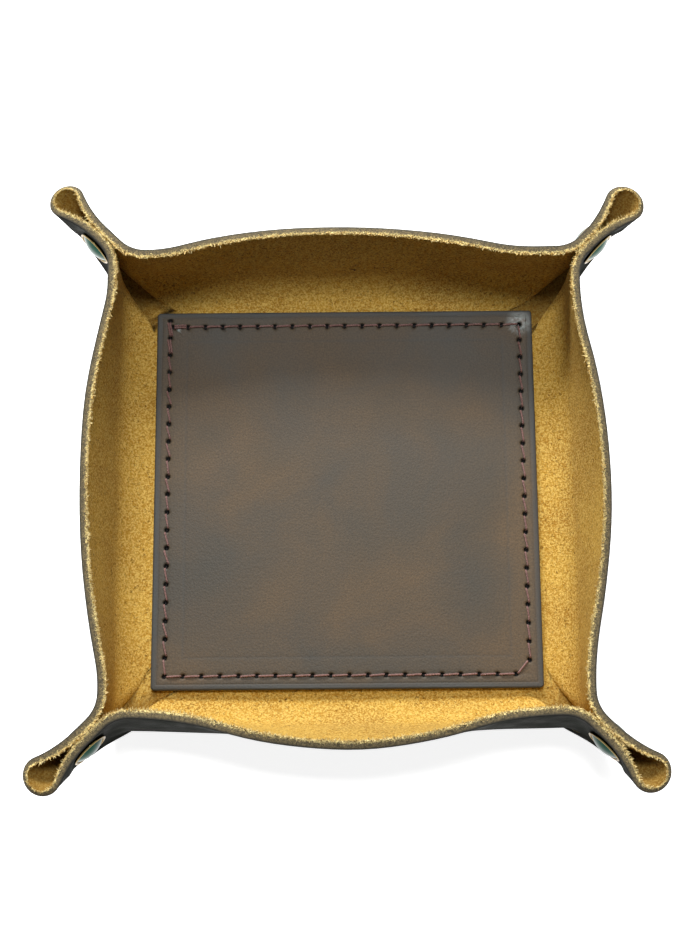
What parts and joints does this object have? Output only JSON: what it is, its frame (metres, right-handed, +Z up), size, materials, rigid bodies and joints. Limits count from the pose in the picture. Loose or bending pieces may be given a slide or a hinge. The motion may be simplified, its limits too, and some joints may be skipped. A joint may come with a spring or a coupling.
{
  "type": "valet tray",
  "caption": "Square leather valet tray with bowed walls, pinched corner ears held by press studs, and a stitched pad on its floor.",
  "frame": {"origin": "on the table, under the middle of the flat floor", "axes": "+Z up, -Y towards the front wall, which is the one at the picture's bottom edge, +X towards its right edge"},
  "size_m": [0.2362, 0.2359, 0.041],
  "materials": {
    "tray_leather": "flesh side napped inside, waxed dark brown grain outside",
    "pad_leather": "oiled pull-up, satin",
    "thread": "waxed, twisted",
    "antique_brass": "antique, satin"
  },
  "bodies": {
    "tray": {"tray_leather": "tray_leather", "floor_pad": "pad_leather", "pad_thread": "thread", "front_right_stud": "antique_brass", "rear_right_stud": "antique_brass", "rear_left_stud": "antique_brass", "front_left_stud": "antique_brass", "front_right_fixed_cap": "antique_brass", "rear_right_fixed_cap": "antique_brass", "rear_left_fixed_cap": "antique_brass", "front_left_fixed_cap": "antique_brass"},
    "front_right_snap": {"front_right_flap": "tray_leather", "front_right_flap_cap": "antique_brass", "front_right_socket": "antique_brass"},
    "rear_right_snap": {"rear_right_flap": "tray_leather", "rear_right_flap_cap": "antique_brass", "rear_right_socket": "antique_brass"},
    "rear_left_snap": {"rear_left_flap": "tray_leather", "rear_left_flap_cap": "antique_brass", "rear_left_socket": "antique_brass"},
    "front_left_snap": {"front_left_flap": "tray_leather", "front_left_flap_cap": "antique_brass", "front_left_socket": "antique_brass"}
  },
  "joints": [
    {"name": "front_right_peel", "type": "hinge", "parent": "tray", "child": "front_right_snap", "pos_m": [0.10897, -0.10568, 0.03027], "axis": [-0.4913, 0.4732, -0.7312], "range_deg": [0, 16]},
    {"name": "rear_right_peel", "type": "hinge", "parent": "tray", "child": "rear_right_snap", "pos_m": [0.10662, 0.10804, 0.03035], "axis": [-0.4958, -0.4687, -0.7311], "range_deg": [0, 16]},
    {"name": "rear_left_peel", "type": "hinge", "parent": "tray", "child": "rear_left_snap", "pos_m": [-0.10475, 0.10991, 0.03014], "axis": [-0.4507, 0.5138, 0.73], "range_deg": [0, 16]},
    {"name": "front_left_peel", "type": "hinge", "parent": "tray", "child": "front_left_snap", "pos_m": [-0.10916, -0.10549, 0.03025], "axis": [-0.4958, -0.4687, 0.7311], "range_deg": [0, 16]}
  ]
}
